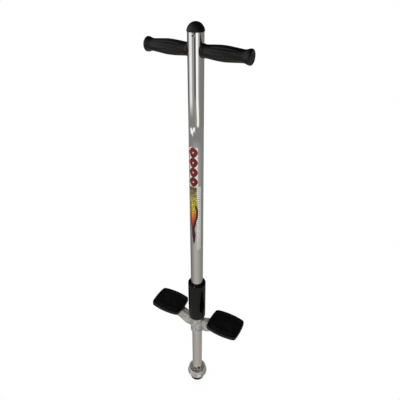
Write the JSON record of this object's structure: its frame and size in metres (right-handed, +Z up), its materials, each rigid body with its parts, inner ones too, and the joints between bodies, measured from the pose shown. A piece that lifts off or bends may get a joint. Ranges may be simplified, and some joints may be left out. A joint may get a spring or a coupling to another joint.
{
  "type": "pogo stick",
  "caption": "Coil-spring pogo stick with a chrome tube, T-handle with rubber grips, footrests on a steel bracket and a sprung telescoping foot.",
  "frame": {"origin": "centre of the rubber tip's sole, where it stands on the ground", "axes": "+Z up along the main tube, X along the handlebar with the rider's right at +X seen from behind the front, -Y the front that carries the decal"},
  "size_m": [0.295, 0.0832, 1.1669],
  "materials": {
    "chrome_tube": "bright chrome plating",
    "chrome_foot": "bright chrome plating, scuffed",
    "bracket_steel": "zinc plated, satin",
    "fastener_steel": "bright zinc",
    "spring_steel": "oiled",
    "grip_rubber": "soft satin",
    "pad_rubber": "matt",
    "tip_rubber": "matt, worn",
    "stop_rubber": "matt",
    "cap_plastic": "fine matt moulding",
    "sleeve_plastic": "semi-gloss",
    "nylon": "natural",
    "decal_print": "printed clear film"
  },
  "bodies": {
    "frame": {"main_tube": "chrome_tube", "top_cap": "cap_plastic", "cap_rivets": "fastener_steel", "handlebar": "chrome_tube", "handlebar_welds": "chrome_tube", "right_grip": "grip_rubber", "left_grip": "grip_rubber", "upper_spring_seat": "bracket_steel", "spring": "spring_steel", "sleeve": "sleeve_plastic", "sleeve_ring": "sleeve_plastic", "sleeve_screws": "fastener_steel", "rebound_ring": "stop_rubber", "bump_ring": "stop_rubber", "bracket_collar": "bracket_steel", "lower_bushing": "nylon", "right_arm": "bracket_steel", "left_arm": "bracket_steel", "arm_welds": "bracket_steel", "right_pad": "pad_rubber", "left_pad": "pad_rubber", "right_pad_insert": "bracket_steel", "left_pad_insert": "bracket_steel", "pad_screws": "fastener_steel", "decal": "decal_print"},
    "plunger": {"piston_tube": "chrome_tube", "guide_plug": "nylon", "spring_washer": "fastener_steel", "cross_pin": "fastener_steel", "pin_clips": "fastener_steel", "foot_cup": "chrome_foot", "foot_weld": "chrome_foot", "rubber_tip": "tip_rubber", "tip_stud": "fastener_steel", "foot_plug": "bracket_steel", "foot_bolt": "fastener_steel", "foot_nut": "fastener_steel", "foot_washers": "fastener_steel"}
  },
  "joints": [
    {"name": "plunge", "type": "slide", "parent": "frame", "child": "plunger", "axis": [0, 0, 1], "range_m": [0, 0.09], "stiffness_N_per_m": 12000, "springref_m": -0.015, "deforming": ["spring"]}
  ]
}
